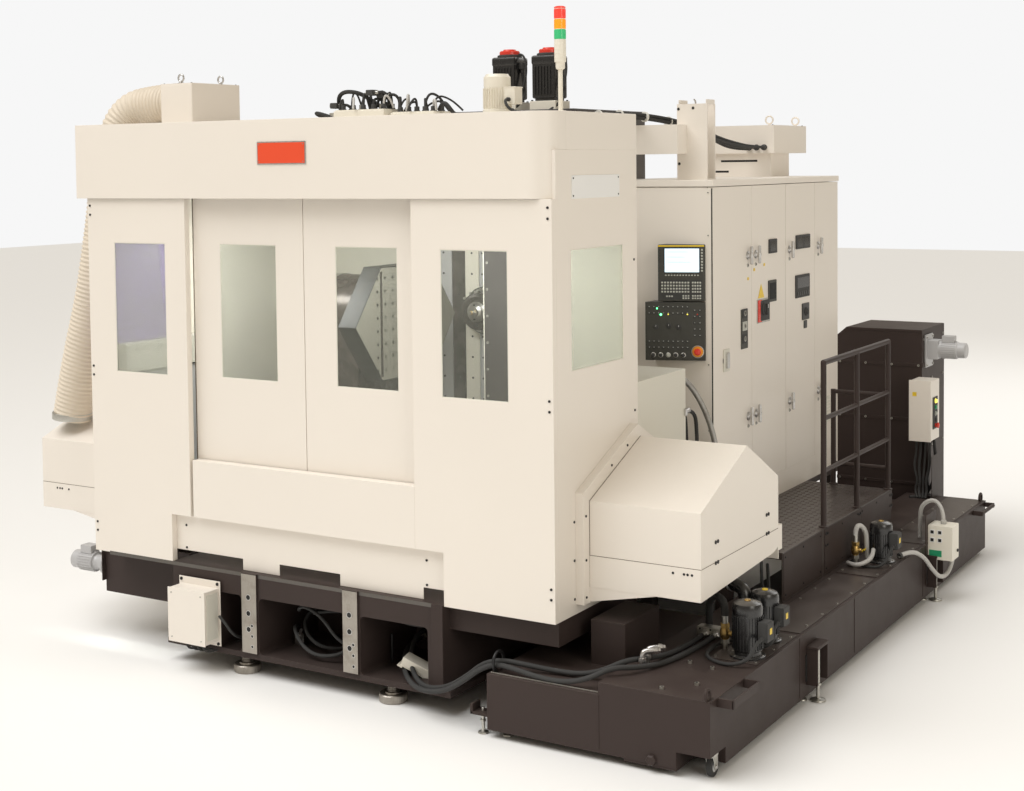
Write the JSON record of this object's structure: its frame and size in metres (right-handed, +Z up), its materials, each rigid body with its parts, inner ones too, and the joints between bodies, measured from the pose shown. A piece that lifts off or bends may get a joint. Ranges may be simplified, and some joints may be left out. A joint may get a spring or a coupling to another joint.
{
  "type": "cnc machining center",
  "caption": "Enclosed horizontal-spindle machining centre with sliding doors, swivelling face-plate table, electrical cabinet, coolant tank and chip conveyor.",
  "frame": {"origin": "on the floor under the middle of the whole machine", "axes": "+Z up, -Y towards the operator doors, +X towards the electrical cabinet doors"},
  "size_m": [4.856, 5.483, 3.609],
  "materials": {
    "cream_paint": "satin powder coat",
    "dark_paint": "semi-matt enamel",
    "machined_iron": "ground",
    "steel": "brushed",
    "window": "clear",
    "black_plastic": "matt",
    "grey_plastic": "matt",
    "red_plastic": "gloss",
    "duct_fabric": "ribbed hose",
    "hose_rubber": "smooth",
    "black_motor": "satin",
    "tower_plastic": "translucent"
  },
  "bodies": {
    "machine_frame": {"cabinet_plinth": "cream_paint", "cabinet_shell": "cream_paint", "chip_conveyor": "dark_paint", "chip_hoods": "cream_paint", "chip_trough": "dark_paint", "column": "machined_iron", "conveyor_control_box": "cream_paint", "coolant_pumps": "black_motor", "coolant_tank": "dark_paint", "display_unit": "grey_plastic", "exhaust_duct": "duct_fabric", "fascia": "cream_paint", "fixed_windows": "window", "floor_hose_a": "hose_rubber", "floor_hose_b": "hose_rubber", "front_panels": "cream_paint", "gear_motors": "black_motor", "guide_rails": "steel", "handrail": "dark_paint", "held_hoses": "hose_rubber", "levelling_feet": "steel", "machine_bed": "dark_paint", "mist_collector": "cream_paint", "operator_panel": "grey_plastic", "platform": "dark_paint", "rear_frame": "cream_paint", "rear_guard": "cream_paint", "roof_cover": "cream_paint", "roof_drives": "black_motor", "service_boxes": "cream_paint", "side_panels": "cream_paint", "signal_tower": "tower_plastic", "sill_panels": "cream_paint"},
    "door_left": {"sliding_door_left": "cream_paint"},
    "door_right": {"sliding_door_right": "cream_paint"},
    "saddle": {"spindle_saddle": "machined_iron"},
    "ram": {"spindle_head": "machined_iron"},
    "spindle": {"spindle": "steel"},
    "cross_slide": {"table_saddle": "steel"},
    "swivel": {"table_swivel": "steel"},
    "face_plate": {"rotary_table": "steel"},
    "switch": {"main_switch": "red_plastic"},
    "estop": {"estop_button": "red_plastic"},
    "caster_fork": {"caster_fork": "steel"},
    "caster_wheel": {"caster_wheel": "black_plastic"},
    "cab_door_1": {"cabinet_door_1": "cream_paint"},
    "handle_low_1": {"handle_low_1": "black_plastic"},
    "handle_high_1": {"handle_high_1": "black_plastic"},
    "cab_door_2": {"cabinet_door_2": "cream_paint"},
    "handle_low_2": {"handle_low_2": "black_plastic"},
    "handle_high_2": {"handle_high_2": "black_plastic"},
    "cab_door_3": {"cabinet_door_3": "cream_paint"},
    "handle_low_3": {"handle_low_3": "black_plastic"},
    "handle_high_3": {"handle_high_3": "black_plastic"},
    "cab_door_4": {"cabinet_door_4": "cream_paint"},
    "handle_low_4": {"handle_low_4": "black_plastic"},
    "handle_high_4": {"handle_high_4": "black_plastic"},
    "dial_1": {"selector_dial_1": "black_plastic"},
    "dial_2": {"selector_dial_2": "black_plastic"},
    "dial_3": {"selector_dial_3": "black_plastic"}
  },
  "joints": [
    {"name": "door_left_slide", "type": "slide", "parent": "machine_frame", "child": "door_left", "axis": [-1, 0, 0], "range_m": [0, 0.7]},
    {"name": "door_right_slide", "type": "slide", "parent": "machine_frame", "child": "door_right", "axis": [1, 0, 0], "range_m": [0, 0.7]},
    {"name": "saddle_lift", "type": "slide", "parent": "machine_frame", "child": "saddle", "axis": [0, 0, 1], "range_m": [-0.35, 0.35]},
    {"name": "ram_feed", "type": "slide", "parent": "saddle", "child": "ram", "axis": [0, 1, 0], "range_m": [0, 0.45]},
    {"name": "spindle_turn", "type": "hinge", "parent": "ram", "child": "spindle", "pos_m": [-0.007, -0.8985, 1.908], "axis": [0, 1, 0], "continuous": true},
    {"name": "cross_feed", "type": "slide", "parent": "machine_frame", "child": "cross_slide", "axis": [-1, 0, 0], "range_m": [0, 0.4]},
    {"name": "table_swivel_turn", "type": "hinge", "parent": "cross_slide", "child": "swivel", "pos_m": [-0.4, -1.6485, 0.9], "axis": [0, 0, 1], "range_deg": [0, 90]},
    {"name": "face_plate_turn", "type": "hinge", "parent": "swivel", "child": "face_plate", "pos_m": [-0.16, -1.6485, 1.908], "axis": [1, 0, 0], "continuous": true},
    {"name": "cabinet_door_1_hinge", "type": "hinge", "parent": "machine_frame", "child": "cab_door_1", "pos_m": [1.4, -0.6785, 1.7], "axis": [0, 0, -1], "range_deg": [0, 85]},
    {"name": "handle_low_1_turn", "type": "hinge", "parent": "cab_door_1", "child": "handle_low_1", "pos_m": [1.4, -0.1515, 1.245], "axis": [1, 0, 0], "range_deg": [0, 90]},
    {"name": "handle_high_1_turn", "type": "hinge", "parent": "cab_door_1", "child": "handle_high_1", "pos_m": [1.4, -0.1515, 2.235], "axis": [1, 0, 0], "range_deg": [0, 90]},
    {"name": "cabinet_door_2_hinge", "type": "hinge", "parent": "machine_frame", "child": "cab_door_2", "pos_m": [1.4, 0.4875, 1.7], "axis": [0, 0, 1], "range_deg": [0, 62]},
    {"name": "handle_low_2_turn", "type": "hinge", "parent": "cab_door_2", "child": "handle_low_2", "pos_m": [1.4, -0.0235, 1.245], "axis": [1, 0, 0], "range_deg": [0, 90]},
    {"name": "handle_high_2_turn", "type": "hinge", "parent": "cab_door_2", "child": "handle_high_2", "pos_m": [1.4, -0.0235, 2.235], "axis": [1, 0, 0], "range_deg": [0, 90]},
    {"name": "cabinet_door_3_hinge", "type": "hinge", "parent": "machine_frame", "child": "cab_door_3", "pos_m": [1.4, 1.0285, 1.7], "axis": [0, 0, 1], "range_deg": [0, 38]},
    {"name": "handle_low_3_turn", "type": "hinge", "parent": "cab_door_3", "child": "handle_low_3", "pos_m": [1.4, 0.5535, 1.245], "axis": [1, 0, 0], "range_deg": [0, 90]},
    {"name": "handle_high_3_turn", "type": "hinge", "parent": "cab_door_3", "child": "handle_high_3", "pos_m": [1.4, 0.5535, 2.235], "axis": [1, 0, 0], "range_deg": [0, 90]},
    {"name": "cabinet_door_4_hinge", "type": "hinge", "parent": "machine_frame", "child": "cab_door_4", "pos_m": [1.4, 1.4925, 1.7], "axis": [0, 0, 1], "range_deg": [0, 110]},
    {"name": "handle_low_4_turn", "type": "hinge", "parent": "cab_door_4", "child": "handle_low_4", "pos_m": [1.4, 1.0945, 1.245], "axis": [1, 0, 0], "range_deg": [0, 90]},
    {"name": "handle_high_4_turn", "type": "hinge", "parent": "cab_door_4", "child": "handle_high_4", "pos_m": [1.4, 1.0945, 2.235], "axis": [1, 0, 0], "range_deg": [0, 90]},
    {"name": "main_switch_turn", "type": "hinge", "parent": "cab_door_2", "child": "switch", "pos_m": [1.41, 0.0965, 1.885], "axis": [1, 0, 0], "range_deg": [0, 90]},
    {"name": "stop_button_press", "type": "slide", "parent": "machine_frame", "child": "estop", "axis": [-0.342, 0.9397, 0], "range_m": [0, 0.008], "stiffness_N_per_m": 2500},
    {"name": "dial_1_turn", "type": "hinge", "parent": "machine_frame", "child": "dial_1", "pos_m": [1.08525, -0.79132, 1.842], "axis": [0.342, -0.9397, 0], "range_deg": [-135, 135]},
    {"name": "dial_2_turn", "type": "hinge", "parent": "machine_frame", "child": "dial_2", "pos_m": [1.15572, -0.76567, 1.848], "axis": [0.342, -0.9397, 0], "range_deg": [-135, 135]},
    {"name": "dial_3_turn", "type": "hinge", "parent": "machine_frame", "child": "dial_3", "pos_m": [1.21023, -0.74583, 1.842], "axis": [0.342, -0.9397, 0], "range_deg": [-135, 135]},
    {"name": "caster_swivel_turn", "type": "hinge", "parent": "machine_frame", "child": "caster_fork", "pos_m": [2.232, -2.6395, 0.1], "axis": [0, 0, 1], "continuous": true},
    {"name": "caster_wheel_roll", "type": "hinge", "parent": "caster_fork", "child": "caster_wheel", "pos_m": [2.232, -2.6315, 0.046], "axis": [1, 0, 0], "continuous": true}
  ]
}
